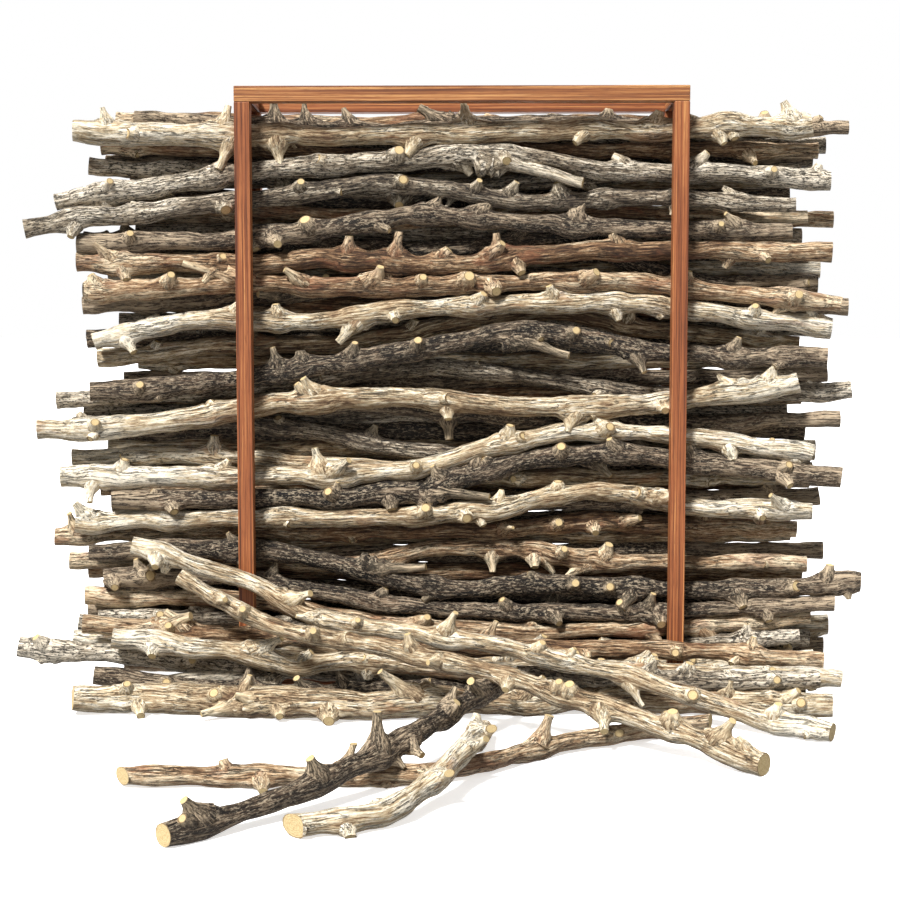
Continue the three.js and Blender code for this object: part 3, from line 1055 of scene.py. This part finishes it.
def rear_lines():
    """Uneven, nearly level lines from bottom to top of the block that they replace."""
    low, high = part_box("rear_twigs")
    depth = (low.y + high.y) / 2 - 1 * MM
    pick = random.Random(REAR_SEED)
    pitch = (high.z - low.z) / REAR_TWIGS
    lines = []
    for i in range(REAR_TWIGS):
        level = low.z + (i + 0.5) * pitch
        left = low.x + pick.uniform(0.01, 0.09)
        right = high.x - pick.uniform(0.0, 0.08)
        radius = pick.uniform(11.8, 14.2) * MM
        tilt = pick.uniform(-6, 6) * MM
        line = []
        for k in range(REAR_STATIONS):
            share = k / (REAR_STATIONS - 1)
            y = depth + pick.uniform(-1, 1) * MM
            z = level + tilt * (2 * share - 1) + pick.uniform(-2, 2) * MM
            spot = Vector((left + (right - left) * share, y, z))
            line.append((spot, radius * (1.08 - 0.16 * share)))
        lines.append(line)
    return lines


print(REAR_TWIGS, "twigs in the rear layer")

# %% Rear twigs
REAR_KINDS = ["brown_twig", "dark_twig", "pale_twig", "dark_twig", "grey_twig"]
REAR_COARSE = {"Step": 6 * MM, "Sides": 12, "Shake": 4 * MM}
REAR_STUB_SPACING = 130 * MM
REAR_STUB_SEED = 100
REAR_NOISE_SEED = 60


def rear_layer():
    """The rear twigs, coarser than the others because so little of them shows."""
    parts = []
    for i, line in enumerate(rear_lines()):
        slot = REAR_KINDS[i % len(REAR_KINDS)]
        pick = random.Random(REAR_STUB_SEED + i)
        lines, roots = with_stubs(line, scattered_stubs(line, pick, REAR_STUB_SPACING, BACK_TURNS))
        looks = looks_of(slot, i) | REAR_COARSE | {"Seed": REAR_NOISE_SEED + i * SEED_STEP}
        parts.append(grown(f"rear_twig_{i + 1:02d}", lines, roots, **looks))
    return parts


rear = rear_layer()
with bpy.context.temp_override(active_object=rear[0], object=rear[0], selected_editable_objects=rear):
    bpy.ops.object.join()
rear_piece = rear[0]
rear_piece.name = "rear_twigs_grown"
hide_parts("rear_twigs")
print("rear layer:", triangles_of([rear_piece]), "triangles")

# %% [markdown]
# ## Floor, light and camera
# The floor and the background are one even white. A strong soft sun from the upper left in front
# gives the twigs their light and dark sides, and a weak one from behind keeps the back readable.
# The sky is white where the camera sees it, and dimmer as a light, so the gaps between twigs stay dark.


# %% Studio
SKY_SEEN = 1.0
SKY_LIGHT = 0.42
FLOOR_REACH = 60.0
FLOOR_GLOW = 0.6  # keeps the shadows on the floor light


def sky():
    """A sky that the camera sees as white, and that gives less light than that."""
    world = bpy.data.worlds.new("studio")
    bpy.context.scene.world = world
    world.use_nodes = True
    world.node_tree.nodes.clear()
    tree = Tree(world.node_tree)
    seen = tree.add("ShaderNodeLightPath")
    values = {"Color": (1.0, 1.0, 1.0, 1.0), "Strength": seen * (SKY_SEEN - SKY_LIGHT) + SKY_LIGHT}
    tree.add("ShaderNodeOutputWorld", {}, {"Surface": tree.add("ShaderNodeBackground", {}, values)})


def floor():
    """A wide white floor that glows a little."""
    mesh = bpy.data.meshes.new("floor")
    corners = [(x * FLOOR_REACH, y * FLOOR_REACH, 0) for x, y in ((-1, -1), (1, -1), (1, 1), (-1, 1))]
    mesh.from_pydata(corners, [], [(0, 1, 2, 3)])
    material, tree = new_material("white_floor")
    values = {"Base Color": (0.9, 0.9, 0.9, 1.0), "Roughness": 0.9}
    values |= {"Emission Color": (1.0, 0.98, 0.96, 1.0), "Emission Strength": FLOOR_GLOW}
    surface = tree.add("ShaderNodeBsdfPrincipled", {}, values)
    tree.add("ShaderNodeOutputMaterial", {}, {"Surface": surface})
    mesh.materials.append(material)
    plane = bpy.data.objects.new("floor", mesh)
    bpy.context.scene.collection.objects.link(plane)
    plane.visible_diffuse = False  # or its white would light every gap from below


def sun(name, place, strength, softness):
    """A sun that shines from place to the origin, with shadows as soft as its size in degrees."""
    light = bpy.data.lights.new(name, "SUN")
    light.energy = strength
    light.angle = math.radians(softness)
    lamp = bpy.data.objects.new(name, light)
    lamp.rotation_euler = (-Vector(place)).to_track_quat("-Z", "Y").to_euler()
    bpy.context.scene.collection.objects.link(lamp)


sky()
floor()
sun("key", (-1.0, -1.6, 2.2), 7.0, 12)
sun("back", (1.4, 2.0, 1.6), 1.4, 20)
bpy.context.scene.view_settings.view_transform = "Standard"
print("floor, sky and two suns")

# %% Camera
LENS = 62.4  # millimetres, on a sensor 36 mm wide
EYE = (0.011, -2.019, 0.485)
LOOK_DOWN = 4.53
LOOK_LEFT = 0.73
camera_data = bpy.data.cameras.new("camera")
camera_data.lens = LENS
camera_data.sensor_width = 36.0
camera = bpy.data.objects.new("camera", camera_data)
camera.location = EYE
camera.rotation_euler = (math.radians(90 - LOOK_DOWN), 0, math.radians(LOOK_LEFT))
bpy.context.scene.collection.objects.link(camera)
bpy.context.scene.camera = camera
print("camera at", tuple(camera.location))
